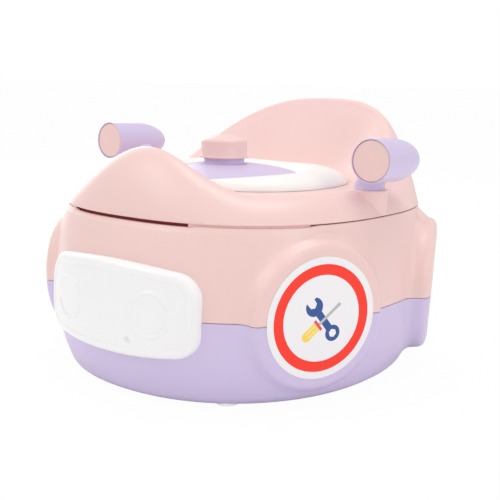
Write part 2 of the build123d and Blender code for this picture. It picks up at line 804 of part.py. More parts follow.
knob_screw_grip = knob_bottom_z - lid_screw_z + screw_grip - slip
with BuildPart() as knob_screw:
    with Locations((0, opening_y, 0)):
        add(screw(lid_screw_z, knob_screw_grip))
finish(knob_screw.part, "knob_screw")

# ================= handles =================
nose_y = handle_length - handle_nose
nose_reach = nose_y - handle_straight
bend_radius = ((handle_radius ** 2 + nose_reach ** 2 - handle_nose ** 2)
               / (2 * (handle_radius - handle_nose)))
bend_turn = degrees(atan2(nose_reach, bend_radius - handle_radius))

def handle_plane(side):
    """Plane on the handle's front end, looking back along the handle."""
    yaw = radians(handle_yaw)
    drop = radians(handle_drop)
    back = (-side * sin(yaw) * cos(drop), cos(yaw) * cos(drop), -sin(drop))
    return Plane(origin=(side * handle_x, handle_y, handle_z),
                 x_dir=(cos(yaw), side * sin(yaw), 0), z_dir=back)


def handle_barrel(inset):
    """Round bar with a bullet-shaped rear end, its front on the XY plane."""
    radius = handle_radius - inset
    with BuildPart() as bar:
        with BuildSketch(Plane.XZ):
            with BuildLine():
                Polyline((0, handle_straight), (0, 0), (radius, 0), (radius, handle_straight))
                CenterArc((handle_radius - bend_radius, handle_straight), bend_radius - inset,
                          0, bend_turn)
                CenterArc((0, nose_y), handle_nose - inset, bend_turn, 90 - bend_turn)
                Line((0, handle_length - inset), (0, handle_straight))
            make_face()
        revolve(axis=Axis.Z)
    return bar.part


spigot_low_z = handle_foot_z - post_spigot_length
handle_outside = handle_barrel(0)
handle_inside = handle_barrel(handle_wall)
with BuildPart() as cap_seat:
    Cylinder(cap_radius + slip / 4, cap_rim, align=up)
with BuildPart() as cap:
    Cylinder(cap_radius, cap_rim - slip / 2, align=up)
    fillet(cap.edges().group_by(Axis.Z)[0], cap_rim / 3)
    Cylinder(handle_radius - handle_wall - slip / 4, cap_depth, align=up)
    Cylinder(cap_radius - 2 * handle_wall, cap_depth, align=up, mode=Mode.SUBTRACT)
    Cylinder(cap_radius, cap_rim - slip / 2, align=up)
    fillet(cap.edges().group_by(Axis.Z)[0], cap_rim / 3)

for side, name in ((-1, "left"), (1, "right")):
    with BuildPart() as post:
        for share in post_levels:
            with BuildSketch(Plane.XY.offset(mix(handle_base_z, handle_z - post_drop, share))):
                bend = share ** 2
                with Locations((side * (post_x + post_lean_x * bend), post_y + post_lean_y * bend)):
                    Circle(mix(post_radius, post_top_radius, bend))
        loft()
        add(rod(side * post_x, post_y, spigot_low_z, handle_base_z + wall, post_spigot_radius))
        add(rod(side * post_x, post_y, spigot_low_z - wall, handle_base_z, screw_radius - screw_bite),
            mode=Mode.SUBTRACT)
    with BuildPart() as handle:
        add(post.part)
        with Locations(handle_plane(side)):
            add(handle_outside)
            add(handle_inside, mode=Mode.SUBTRACT)
            add(cap_seat.part, mode=Mode.SUBTRACT)
    finish(handle.part, f"handle_{name}")
    with BuildPart() as handle_cap:
        with Locations(handle_plane(side)):
            add(cap.part)
    finish(handle_cap.part, f"handle_cap_{name}")

with BuildPart() as handle_screws:
    for side in (-1, 1):
        with Locations((side * post_x, post_y, 0)):
            add(screw(handle_screw_z, handle_base_z - handle_screw_z - slip))
finish(handle_screws.part, "handle_screws")
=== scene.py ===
"""Looks of a child's potty training chair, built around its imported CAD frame.

Sizes are in millimetres until a mesh is made, and the frame is the CAD one: +Z up, -Y to the front,
the origin on the floor under the middle of the chair.
"""

import logging
import math
from collections.abc import Iterable, Sequence
from dataclasses import dataclass
from enum import Enum

import bmesh
import bpy
import numpy as np
from mathutils import Matrix, Vector

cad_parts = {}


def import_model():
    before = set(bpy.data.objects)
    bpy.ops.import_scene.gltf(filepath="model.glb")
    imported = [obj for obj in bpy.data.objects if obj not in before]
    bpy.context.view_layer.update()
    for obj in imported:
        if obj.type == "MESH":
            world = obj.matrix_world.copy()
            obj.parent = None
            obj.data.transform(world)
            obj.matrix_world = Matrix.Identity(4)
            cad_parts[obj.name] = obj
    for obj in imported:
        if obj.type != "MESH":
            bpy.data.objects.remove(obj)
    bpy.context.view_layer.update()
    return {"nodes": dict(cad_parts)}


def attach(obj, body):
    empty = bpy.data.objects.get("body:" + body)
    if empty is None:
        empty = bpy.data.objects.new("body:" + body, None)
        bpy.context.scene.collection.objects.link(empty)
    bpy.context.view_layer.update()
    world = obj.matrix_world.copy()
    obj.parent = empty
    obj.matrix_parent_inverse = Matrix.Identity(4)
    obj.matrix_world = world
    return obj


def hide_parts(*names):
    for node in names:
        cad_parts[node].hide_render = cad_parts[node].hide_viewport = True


LOG = logging.getLogger("potty_chair")
MM = 0.001
TAU = 2 * math.pi
WHITE_LIGHT = (1, 1, 1, 1)

Array = np.ndarray
Pair = tuple[float, float]
Triple = tuple[float, float, float]
Pairs = Sequence[Pair]


# ---- shared sums


def smooth_step(low: float, high: float, value: Array) -> Array:
    """Returns 0 below low, 1 above high and a smooth rise between them."""
    share = np.clip((value - low) / (high - low), 0, 1)
    return share * share * (3 - 2 * share)


def smooth_union(first: Array, second: Array, reach: float) -> Array:
    """Joins two distance fields with a soft fillet of about the given reach."""
    share = np.clip(0.5 + 0.5 * (second - first) / reach, 0, 1)
    return second + (first - second) * share - reach * share * (1 - share)


def mix(start: Array, end: Array, share: Array) -> Array:
    """Value at a share of the way from start to end."""
    return start + (end - start) * share


def linear(red: int, green: int, blue: int) -> Triple:
    """Turns an 8-bit screen colour into a linear one."""
    parts = [channel / 255 for channel in (red, green, blue)]
    return tuple(p / 12.92 if p <= 0.04045 else ((p + 0.055) / 1.055) ** 2.4 for p in parts)


def around(count: int) -> Array:
    """Angles of a full turn, anticlockwise from +X."""
    return np.linspace(0, TAU, count, endpoint=False)


def level(x: Array, y: Array, z: float) -> Array:
    """Row of points at one height."""
    return np.stack([x, y, np.full_like(x, z)], -1)


def arc(centre: Pair, radius: float, start: float, end: float, steps: int) -> list[Pair]:
    """Points of an arc, with its angles in degrees."""
    turns = np.radians(np.linspace(start, end, steps + 1))
    return [(centre[0] + radius * math.cos(turn), centre[1] + radius * math.sin(turn)) for turn in turns]


def round_edge(radius: float, steps: int) -> list[Pair]:
    """Distances from the two faces that a rounded edge joins, starting on the second face."""
    return [(radius * (1 - math.sin(turn)), radius * (1 - math.cos(turn)))
            for turn in np.linspace(0, math.pi / 2, steps)]


@dataclass(frozen=True)
class Oval:
    """Superellipse in plan."""

    half_x: float
    half_y: float
    power: float
    centre_y: float

    def reach(self, angle: Array, inset: float = 0.0) -> Array:
        """Distance from the centre to the edge at an angle."""
        across = np.abs(np.cos(angle) / (self.half_x - inset)) ** self.power
        along = np.abs(np.sin(angle) / (self.half_y - inset)) ** self.power
        return (across + along) ** (-1 / self.power)

    def points(self, angle: Array, inset: float = 0.0) -> tuple[Array, Array]:
        """Points of the edge at some angles."""
        reach = self.reach(angle, inset)
        return reach * np.cos(angle), self.centre_y + reach * np.sin(angle)


# ---- meshes


class Piece:
    """A mesh object made from grids of points, ready to ride on the frame."""

    sharp_angle = 35.0      # degrees, from which an edge is drawn sharp
    same_point = 1e-6       # metres

    def __init__(self, name: str) -> None:
        self.name = name
        self.points: list[Array] = []
        self.faces: list[tuple[int, ...]] = []
        self.slots: list[int] = []
        self.count = 0

    def grid(self, rows: Array, closed: bool = True, slot: int = 0, cap_first: bool = False,
             cap_last: bool = False, place: Matrix | None = None) -> None:
        """Adds a skin through rows of points, given as rows by columns by three.

        A closed grid joins its last column to its first, and a cap is one face over a whole row.
        """
        height, width, _ = rows.shape
        flat = rows.reshape(-1, 3)
        if place is not None:
            flat = flat @ np.array(place.to_3x3()).T + np.array(place.translation)
        columns = width if closed else width - 1
        low, column = np.meshgrid(np.arange(height - 1), np.arange(columns), indexing="ij")
        start = self.count
        after = (column + 1) % width
        corners = [low * width + column, low * width + after, (low + 1) * width + after,
                   (low + 1) * width + column]
        quads = np.stack(corners, axis=-1).reshape(-1, 4) + start
        self._add_faces(map(tuple, quads.tolist()), slot)
        if cap_first:
            self._add_faces([tuple(start + index for index in reversed(range(width)))], slot)
        if cap_last:
            self._add_faces([tuple(start + (height - 1) * width + index for index in range(width))], slot)
        self.points.append(flat)
        self.count += len(flat)

    def _add_faces(self, faces: Iterable[tuple[int, ...]], slot: int) -> None:
        before = len(self.faces)
        self.faces.extend(faces)
        self.slots.extend([slot] * (len(self.faces) - before))

    def revolve(self, profile: Pairs, place: Matrix, slot: int = 0, segments: int = 128,
                closed_profile: bool = False) -> None:
        """Adds a turned form from (radius, height) pairs that climb its outer side."""
        pairs = [*profile, profile[0]] if closed_profile else list(profile)
        angle = around(segments)
        rows = np.array([level(radius * np.cos(angle), radius * np.sin(angle), height)
                         for radius, height in pairs])
        self.grid(rows, slot=slot, cap_first=not closed_profile, cap_last=not closed_profile, place=place)

    def prism(self, outline: Pairs, height: float, place: Matrix, slot: int = 0) -> None:
        """Adds a flat outline drawn anticlockwise, raised to a height."""
        rows = np.array([[(x, y, z) for x, y in outline] for z in (0.0, height)])
        self.grid(rows, slot=slot, cap_last=True, place=place)

    def build(self, materials: Sequence[bpy.types.Material], merge: bool = True) -> bpy.types.Object:
        """Makes the mesh object, in metres, with the points that coincide made one where asked for."""
        mesh = bpy.data.meshes.new(self.name)
        mesh.from_pydata((np.concatenate(self.points) * MM).tolist(), [], self.faces)
        for material in materials:
            mesh.materials.append(material)
        mesh.polygons.foreach_set("material_index", self.slots)
        mesh.update()
        obj = bpy.data.objects.new(self.name, mesh)
        bpy.context.collection.objects.link(obj)
        if merge:
            work = bmesh.new()
            work.from_mesh(mesh)
            bmesh.ops.remove_doubles(work, verts=work.verts, dist=self.same_point)
            bmesh.ops.dissolve_degenerate(work, edges=work.edges, dist=self.same_point / 10)
            work.to_mesh(mesh)
            work.free()
        mesh.shade_smooth()
        mesh.set_sharp_from_angle(angle=math.radians(self.sharp_angle))
        return obj


class Bodies(str, Enum):
    """Bodies of the frame."""

    BODY = "body"
    SEAT = "seat"
    LID = "lid"


# ---- materials


@dataclass(frozen=True)
class Plastic:
    """How one moulded plastic looks."""

    colour: Triple
    slot: str
    roughness: float = 0.34
    soft: float = 0.10
    # emission strength: painted light on finishes that are no lamps
    glow: float = 0.0
    metal: float = 0.0


def ink(red: int, green: int, blue: int, roughness: float = 0.32) -> Plastic:
    """Printing on the labels."""
    return Plastic(linear(red, green, blue), "label_print", roughness=roughness, soft=0)


class Shades(Enum):
    """Finishes of the chair."""

    PINK = Plastic(linear(240, 206, 201), "pink_plastic")
    LAVENDER = Plastic(linear(211, 197, 229), "lavender_plastic")
    WHITE = Plastic(linear(244, 243, 243), "white_plastic", roughness=0.3)
    BOWL = Plastic(linear(212, 198, 238), "bowl_plastic", roughness=0.25)
    CUSHION = Plastic(linear(246, 242, 238), "cushion_skin", roughness=0.32, soft=0.2)
    LABEL = ink(243, 241, 243, 0.3)
    RED = ink(253, 50, 28)
    BLUE = ink(46, 84, 150)
    YELLOW = ink(255, 214, 92)
    STRAW = ink(255, 232, 150)
    COLLAR = ink(240, 62, 84)
    SHAFT = ink(188, 190, 186)
    # painted shade: a dark red finish with a faint painted glow, for the shade seen in the finger gap
    DEPTH = Plastic(linear(128, 40, 34), "pink_plastic", roughness=0.6, soft=0, glow=0.12)
    # painted light: the glow lifts the white feet and bumpers out of their own shade
    RUBBER = Plastic(linear(240, 240, 242), "grey_rubber", roughness=0.8, soft=0, glow=0.3)
    STEEL = Plastic(linear(190, 190, 194), "screw_steel", roughness=0.35, soft=0, metal=1.0)


INKS = (Shades.LABEL, Shades.RED, Shades.BLUE, Shades.YELLOW, Shades.STRAW, Shades.COLLAR, Shades.SHAFT)


class Graph:
    """Adds and links the nodes of one node tree."""

    def __init__(self, tree: bpy.types.NodeTree) -> None:
        self.nodes = tree.nodes
        self.links = tree.links

    def add(self, kind: str, values: dict[str | int, object] | None = None,
            operation: str | None = None) -> bpy.types.Node:
        """Adds a node with some of its inputs set."""
        node = self.nodes.new(kind)
        if operation is not None:
            node.operation = operation
        self.fill(node, values or {})
        return node

    @staticmethod
    def fill(node: bpy.types.Node, values: dict[str | int, object]) -> None:
        """Sets inputs of a node."""
        for name, value in values.items():
            node.inputs[name].default_value = value

    def join(self, start: bpy.types.Node, output: str, end: bpy.types.Node, socket: str | int) -> None:
        """Links an output to an input."""
        self.links.new(start.outputs[output], end.inputs[socket])


class MaterialLibrary:
    """Makes each material once, all from one shared surface-variation node group."""

    broad_scale = 14
    fine_scale = 1400
    tone_range = (0.985, 1.015)
    roughness_range = (-0.03, 0.03)
    grain = 0.04
    grain_depth = 0.0002
    refraction = 1.46
    skin_depth = 0.004
    skin_spread = (1.0, 0.6, 0.5)

    def __init__(self) -> None:
        self.made: dict[Shades, bpy.types.Material] = {}
        self.variation = self._variation_group()

    def _variation_group(self) -> bpy.types.NodeTree:
        """Node group that puts out a tone, a roughness and a fine normal from object coordinates."""
        group = bpy.data.node_groups.new("moulded_surface", "ShaderNodeTree")
        sockets = {"INPUT": (("Colour", "Color"), ("Roughness", "Float"), ("Grain", "Float")),
                   "OUTPUT": (("Colour", "Color"), ("Roughness", "Float"), ("Normal", "Vector"))}
        for direction, pairs in sockets.items():
            for name, kind in pairs:
                group.interface.new_socket(name, in_out=direction, socket_type=f"NodeSocket{kind}")
        graph = Graph(group)
        source = graph.add("NodeGroupInput")
        result = graph.add("NodeGroupOutput")
        where = graph.add("ShaderNodeTexCoord")
        broad, fine = (graph.add("ShaderNodeTexNoise", {"Scale": scale, "Detail": 2})
                       for scale in (self.broad_scale, self.fine_scale))
        for noise in (broad, fine):
            graph.join(where, "Object", noise, "Vector")
        tone, rough = (graph.add("ShaderNodeMapRange", {"To Min": low, "To Max": high})
                       for low, high in (self.tone_range, self.roughness_range))
        for spread in (tone, rough):
            graph.join(broad, "Fac", spread, "Value")
        shade = graph.add("ShaderNodeVectorMath", operation="SCALE")
        graph.join(source, "Colour", shade, 0)
        graph.join(tone, "Result", shade, "Scale")
        graph.join(shade, "Vector", result, "Colour")
        total = graph.add("ShaderNodeMath")
        graph.join(rough, "Result", total, 0)
        graph.join(source, "Roughness", total, 1)
        graph.join(total, "Value", result, "Roughness")
        bump = graph.add("ShaderNodeBump", {"Distance": self.grain_depth})
        graph.join(source, "Grain", bump, "Strength")
        graph.join(fine, "Fac", bump, "Height")
        graph.join(bump, "Normal", result, "Normal")
        return group

    def get(self, shade: Shades) -> bpy.types.Material:
        """Returns the material of a finish."""
        if shade not in self.made:
            self.made[shade] = self._make(shade)
        return self.made[shade]

    def _make(self, shade: Shades) -> bpy.types.Material:
        look = shade.value
        material = bpy.data.materials.new(shade.name.lower())
        material.use_nodes = True
        graph = Graph(material.node_tree)
        shader = graph.nodes["Principled BSDF"]
        surface = graph.add("ShaderNodeGroup")
        surface.node_tree = self.variation
        graph.fill(surface, {"Colour": (*look.colour, 1), "Roughness": look.roughness, "Grain": self.grain})
        graph.join(surface, "Colour", shader, "Base Color")
        graph.join(surface, "Roughness", shader, "Roughness")
        graph.join(surface, "Normal", shader, "Normal")
        graph.fill(shader, {"IOR": self.refraction, "Metallic": look.metal,
                            "Emission Color": (*look.colour, 1), "Emission Strength": look.glow,
                            "Subsurface Weight": look.soft, "Subsurface Radius": self.skin_spread,
                            "Subsurface Scale": self.skin_depth})
        return material


# ---- forms


@dataclass(frozen=True)
class Boss:
    """One round wheel boss: a flat face, a soft edge and a side that flares towards the body."""

    side: int
    end: int
    x: float = 160.8
    y: float = 84.2
    z: float = 83.6
    yaw: float = 22.0
    tilt: float = 2.5
    radius: float = 66.3
    flare: float = 0.04
    edge: float = 8.0
    depth: float = 60.0

    @property
    def name(self) -> str:
        """Name of the wheel, as the frame's nodes have it."""
        return f"{'front' if self.end < 0 else 'rear'}_{'left' if self.side < 0 else 'right'}"

    def axes(self) -> tuple[Vector, Vector, Vector]:
        """Sideways, upward and outward directions of the face."""
        yaw, tilt = math.radians(self.yaw), math.radians(self.tilt)
        out = Vector((self.side * math.cos(yaw) * math.cos(tilt), self.end * math.sin(yaw) * math.cos(tilt),
                      -math.sin(tilt)))
        across = Vector((0, 0, 1)).cross(out).normalized()
        return across, out.cross(across), out

    def place(self) -> Matrix:
        """Placement with the face on the XY plane, Y up and Z outwards."""
        turn = Matrix(self.axes()).transposed().to_4x4()
        return Matrix.Translation((self.side * self.x, self.end * self.y, self.z)) @ turn

    def fair(self, gap: Array, x: Array, y: Array, z: Array, fillet: float) -> Array:
        """Joins the boss's flared side to a distance field and cuts both at the face."""
        out = self.axes()[2]
        dx, dy, dz = x - self.side * self.x, y - self.end * self.y, z - self.z
        height = dx * out.x + dy * out.y + dz * out.z
        radius = np.sqrt(np.maximum(dx * dx + dy * dy + dz * dz - height * height, 0))
        depth = np.clip(-height, 0, self.depth)
        side = (radius - self.radius - self.flare * depth) / math.hypot(1, self.flare)
        joined = smooth_union(gap, np.maximum(side, -self.depth - height), fillet)
        return -smooth_union(-joined, -height, self.edge)


BOSSES = tuple(boss for side in (-1, 1)
               for boss in (Boss(side, -1), Boss(side, 1, x=163.2, y=109.9, z=83.9, yaw=26.6, edge=11.0)))


@dataclass(frozen=True)
class BodyForm:
    """Barrel-shaped body with its bosses faired in."""

    base: Oval = Oval(157.5, 169.0, 2.16, 0.7)
    belly: Oval = Oval(177.5, 186.5, 2.2, 3.0)
    rim: Oval = Oval(164.3, 172.1, 2.43, 7.4)
    foot_z: float = 3.0
    belly_z: float = 74.0
    seam_z: float = 82.0
    half_seam: float = 0.2
    rim_z: float = 162.6
    foot_edge: float = 9.0
    edge: float = 1.0
    fillet: float = 9.0
    wall: float = 3.0
    boss_foot_z: float = 34.0      # rows lie closer below this height, where the bosses run out
    boss_head_z: float = 134.0     # and above this one
    row_gap: float = 2.0
    foot_row_gap: float = 0.7
    head_row_gap: float = 0.6
    columns: int = 1080
    boss_search: float = 45.0      # how far outside the barrel the search for the surface starts
    search_steps: int = 60
    search_pace: float = 0.75
    gap_end_x: Pair = (146.0, 152.0)     # where the finger gap runs out, either side
    gap_step_x: Pair = (73.0, 77.0)      # and where its deeper middle part does
    gap_depth: float = 1.2
    gap_step: float = 1.0
    lips: Pairs = ((-67, -32), (-148, -117))            # degrees
    lip_inset: float = 2.2
    lip_rise: float = 1.2
    # painted shade: a dark sheet just inside the rim, seen through the finger gap where there is only shade
    gap_shade_ends: Pair = (-155, -25)
    gap_shade_inset: float = 4.6
    gap_shade_rise: float = 4.0
    strip_depth: float = 12.0

    def _value(self, name: str, z: Array) -> Array:
        """One value of the plan outline at some heights, without the bosses."""
        rise = ((z - self.belly_z) / (self.rim_z - self.belly_z)) ** 2
        fall = ((self.belly_z - z) / (self.belly_z - self.foot_z)) ** 2
        near = getattr(self.belly, name)
        return np.where(z >= self.belly_z, mix(near, getattr(self.rim, name), rise),
                        mix(near, getattr(self.base, name), fall))

    def _values(self, z: Array) -> list[Array]:
        """All values of the plan outline, in the order that Oval takes them."""
        return [self._value(name, z) for name in ("half_x", "half_y", "power", "centre_y")]

    def row(self, angle: Array, z: float, inset: float = 0.0) -> Array:
        """Points around the body at one height."""
        oval = Oval(*map(float, self._values(z)))
        barrel = oval.reach(angle)
        low = self.foot_z + self.foot_edge
        if z < low:
            inset += self.foot_edge - math.sqrt(max(self.foot_edge ** 2 - (low - z) ** 2, 0))
        reach = barrel + self.boss_search
        for _ in range(self.search_steps):
            x, y = reach * np.cos(angle), oval.centre_y + reach * np.sin(angle)
            gap = reach - barrel
            for boss in BOSSES:
                gap = boss.fair(gap, x, y, np.full_like(x, z), self.fillet)
            reach = reach - self.search_pace * gap
        reach = reach - inset
        return level(reach * np.cos(angle), oval.centre_y + reach * np.sin(angle), z)

    def front_y(self, x: Array, z: Array) -> Array:
        """Front surface of the barrel at points given by their width and height."""
        half_x, half_y, power, centre = self._values(z)
        return centre - half_y * (1 - np.minimum(np.abs(x / half_x), 1) ** power) ** (1 / power)

    def tub_rows(self) -> Array:
        """Rows of the lower tub, from its floor up to its seam and in behind it."""
        angle = around(self.columns)
        edge = round_edge(self.edge, 6)
        below = self.half_seam + self.edge
        low = [self.foot_z + rise for _, rise in round_edge(self.foot_edge, 10)]
        flank = [*np.arange(low[-1] + self.foot_row_gap, self.boss_foot_z, self.foot_row_gap),
                 *np.arange(self.boss_foot_z, self.seam_z - below, self.row_gap)]
        rows = [self.row(angle, z) for z in [*low, *flank]]
        rows += [self.row(angle, self.seam_z - self.half_seam - up, inset) for up, inset in edge]
        rows += [self.row(angle, self.seam_z - drop, self.wall) for drop in (self.half_seam, 4 * self.wall)]
        return np.array(rows)

    def shell_rows(self) -> Array:
        """Rows of the upper shell, from behind its seam up to its rim and in behind that."""
        angle = around(self.columns)
        edge = round_edge(self.edge, 6)
        rows = [self.row(angle, self.seam_z + rise, self.wall) for rise in (4 * self.wall, self.half_seam)]
        rows += [self.row(angle, self.seam_z + self.half_seam + up, inset) for up, inset in reversed(edge)]
        flank = [*np.arange(self.seam_z + 3, self.boss_head_z, self.row_gap),
                 *np.arange(self.boss_head_z, self.rim_z - self.edge, self.head_row_gap)]
        rows += [self.row(angle, z) for z in flank]
        rows += [self.row(angle, self.rim_z - up, inset) for up, inset in edge]
        rows += [self.row(angle, self.rim_z - drop, self.wall) for drop in (0, 5 * self.wall)]
        stack = np.array(rows)
        near_rim = smooth_step(self.rim_z - 7, self.rim_z - 1, stack[..., 2])
        stack[..., 2] -= near_rim * self._finger_gap(angle)
        return stack

    def _finger_gap(self, angle: Array) -> Array:
        """How far the rim is let down in front, in two steps, to leave a gap under the seat."""
        x = np.abs(self.rim.points(angle)[0])
        wide = self.gap_depth * (1 - smooth_step(*self.gap_end_x, x))
        narrow = self.gap_step * (1 - smooth_step(*self.gap_step_x, x))
        return np.where(np.sin(angle) < 0, wide + narrow, 0)

    def strip(self, ends: Pair, inset: float, rise: float) -> Array:
        """Upright strip just inside the rim, between two angles in degrees."""
        x, y = self.rim.points(np.radians(np.linspace(*ends, 80)), inset)
        return np.array([level(x, y, z) for z in (self.rim_z - self.strip_depth, self.rim_z + rise)])


@dataclass(frozen=True)
class Rise:
    """A part of the seat's ridge that rises above its sides. Its angles are in degrees."""

    middle: float
    spread: float
    shape: float
    top_z: float
    ridge: float        # where the ridge lies, as a share of the way from the rim to the pan

    def share(self, angle: Array) -> Array:
        """How much of the rise there is at an angle: 1 in its middle and 0 at its ends."""
        away = np.abs((np.degrees(angle) - self.middle + 180) % 360 - 180)
        return np.cos(np.pi / 2 * np.minimum((away / self.spread) ** self.shape, 1)) ** 2


OPENING_Y = -27.4


@dataclass(frozen=True)
class SeatForm:
    """Seat shell: outer wall, ridge with splash guard and backrest, scoop and pan."""

    rim: Oval = BodyForm.rim
    pan: Oval = Oval(116.0, 101.0, 2.3, -12.0)
    opening: Oval = Oval(63.5, 69.5, 2.0, OPENING_Y)
    guard: Rise = Rise(270, 45.8, 1.045, 223.6, 0.63)
    back: Rise = Rise(90, 77.6, 1.4, 265.5, 0.282)
    bottom_z: float = 163.4
    side_z: float = 186.2
    side_ridge: float = 0.58
    pan_z: float = 186.0
    collar_drop: float = 12.0
    side_bulge: float = 2.2
    end_bulge: float = 1.857
    side_lean: float = 1.2
    end_lean: float = 1.179
    side_scoop: float = 1.0
    back_scoop: float = 0.8
    rim_step: float = 1.8          # depth of the soft step inside the backrest's rim
    step_start: Pair = (1.06, 1.1)       # stations where that step sets in
    step_end: Pair = (1.3, 1.8)          # and where it fades
    edge: float = 1.2
    opening_edge: float = 1.5
    inner_height: float = 5.0      # how far the inside of the wall is shown
    wall_share: Pair = (4.0 / 165, 4.0 / 172)
    mean_radius: float = 168.0
    columns: int = 960
    ridge_rows: int = 64
    crowding: float = 1.3          # how closely the rows lie near the ridge
    first_row: float = 0.97        # how far below the ridge the first of them lies

    def row(self, angle: Array, station: float) -> Array:
        """Points around the seat at a station: 0 at the seam, 1 on the ridge, 2 at the pan."""
        guard, back = self.guard.share(angle), self.back.share(angle)
        ridge_z, ridge = (side + (front - side) * guard + (rear - side) * back
                          for side, front, rear in ((self.side_z, self.guard.top_z, self.back.top_z),
                                                    (self.side_ridge, self.guard.ridge, self.back.ridge)))
        bulge = mix(self.side_bulge, self.end_bulge, guard + back)
        lean = mix(self.side_lean, self.end_lean, guard + back)
        outer, inner = self.rim.points(angle), self.pan.points(angle)
        if station <= 1:
            across = ridge * station
            z = mix(self.bottom_z, ridge_z, (1 - (1 - station) ** bulge) ** (1 / lean))
        else:
            across = mix(ridge, 1, station - 1)
            fall = (station - 1) ** mix(self.side_scoop, self.back_scoop, back)
            z = mix(ridge_z, self.pan_z, fall * fall * (3 - 2 * fall))
            hollow = smooth_step(*self.step_start, station) * (1 - smooth_step(*self.step_end, station))
            z -= self.rim_step * back * hollow
        return np.stack([mix(outer[0], inner[0], across), mix(outer[1], inner[1], across), z], -1)

    def rows(self) -> Array:
        """Rows of the whole shell, from the inside of its wall over the ridge to its collar."""
        angle = around(self.columns)
        bottom = self.row(angle, 0.0)
        centre = np.array([0, self.rim.centre_y, 0])

        def drawn_in(across: float, along: float) -> Array:
            return (bottom - centre) * [1 - across, 1 - along, 1] + centre

        inside = drawn_in(*self.wall_share)
        rows = [inside + [0, 0, self.inner_height], inside]
        for tuck, rise in round_edge(self.edge, 5):
            ring = drawn_in(tuck / self.mean_radius, tuck / self.mean_radius)
            ring[:, 2] = self.bottom_z + rise
            rows.append(ring)
        spread = np.linspace(0, 1, self.ridge_rows) ** self.crowding
        rows += [self.row(angle, 1 - self.first_row * share) for share in spread[::-1]]
        rows += [self.row(angle, 1 + share) for share in spread[1:]]
        rows += [level(*self.opening.points(angle, -grow), self.pan_z - drop)
                 for grow, drop in round_edge(self.opening_edge, 5)]
        rows.append(level(*self.opening.points(angle), self.pan_z - self.collar_drop))
        return np.array(rows)


@dataclass(frozen=True)
class CushionForm:
    """Soft ring on the pan, highest where it is widest."""

    hole: Oval = Oval(71.3, 77.3, 2.0, OPENING_Y)
    margin: float = 1.5
    lift: float = 0.3
    crown: float = 13.5
    fullness: float = 0.55
    columns: int = 480

    def rows(self, pan: Oval, pan_z: float) -> Array:
        """Rows over the ring from its outer to its inner edge, and back to the start under it."""
        angle = around(self.columns)
        outer = np.stack(pan.points(angle, self.margin), -1)
        inner = np.stack(self.hole.points(angle), -1)
        width = np.hypot(*(outer - inner).T)
        widest = pan.half_x - self.margin - self.hole.half_x
        crown = self.crown * np.sqrt(np.minimum(width / widest, 1))
        rows = []
        for across in (1 - np.cos(np.linspace(0, math.pi, 48))) / 2:
            height = crown * max(math.sin(math.pi * across), 0) ** self.fullness
            rows.append(np.column_stack([mix(outer, inner, across), pan_z + self.lift + height]))
        return np.array([*rows, rows[0]])


@dataclass(frozen=True)
class LidForm:
    """Domed lid with its neck, and the knob's outline. The knob's heights start at its own foot."""

    half_x: float = 70.0
    half_y: float = 76.0
    foot_z: float = 189.0
    edge_z: float = 194.2
    edge: float = 1.6
    crown: float = 9.5
    knob_z: float = 208.5
    knob_radius: float = 22.6
    knob_flange: float = 23.8
    knob_edge: float = 4.0
    knob_shoulder: float = 15.0
    knob_height: float = 22.5
    edge_turn: float = 70.0        # degrees
    columns: int = 256
    neck: Pairs = ((21.4, 201.5), (20.6, 202.8), (20.1, 204.4), (20, 205.5), (20, 208.4))

    def rows(self) -> Array:
        """Rows from under the lid's edge up to the middle of its dome."""
        angle = around(self.columns)

        def ellipse(half_x: float, half_y: float, z: float) -> Array:
            return level(half_x * np.cos(angle), OPENING_Y + half_y * np.sin(angle), z)

        rims = [(2.2, self.foot_z), (0.4, self.foot_z), (0, self.foot_z + 0.5)]
        for bend in np.radians(self.edge_turn * np.linspace(0, 1, 7)):
            rims.append((self.edge * (1 - math.cos(bend)), self.edge_z - 1.5 + self.edge * math.sin(bend)))
        rows = [ellipse(self.half_x - inset, self.half_y - inset, z) for inset, z in rims]
        for share in np.linspace(0.97, 0.02, 40):
            dome_z = self.edge_z + self.crown * (1 - share ** 2)
            rows.append(ellipse(self.half_x * share, self.half_y * share, dome_z))
        return np.array(rows)

    def knob_profile(self) -> Pairs:
        """Knob from its foot over the thin flange and the rounded shoulder to its dome."""
        middle = (self.knob_radius - self.knob_edge, self.knob_shoulder)
        shoulder = arc(middle, self.knob_edge, 0, 90 * 0.86, 9)
        top_radius, top_z = shoulder[-1]
        dome = [(top_radius * (1 - share), top_z + (self.knob_height - top_z) * (1 - (1 - share) ** 2))
                for share in np.linspace(0.08, 0.999, 16)]
        flange = self.knob_flange
        rim = [*arc((flange, 0.9), 0.6, -90, 0, 4), *arc((flange, 1.2), 0.6, 0, 90, 4)]
        side = [(self.knob_radius + 0.3, 1.9), (self.knob_radius, 2.4)]
        return [(12, 0), (flange, 0), *rim, *side, *shoulder, *dome]


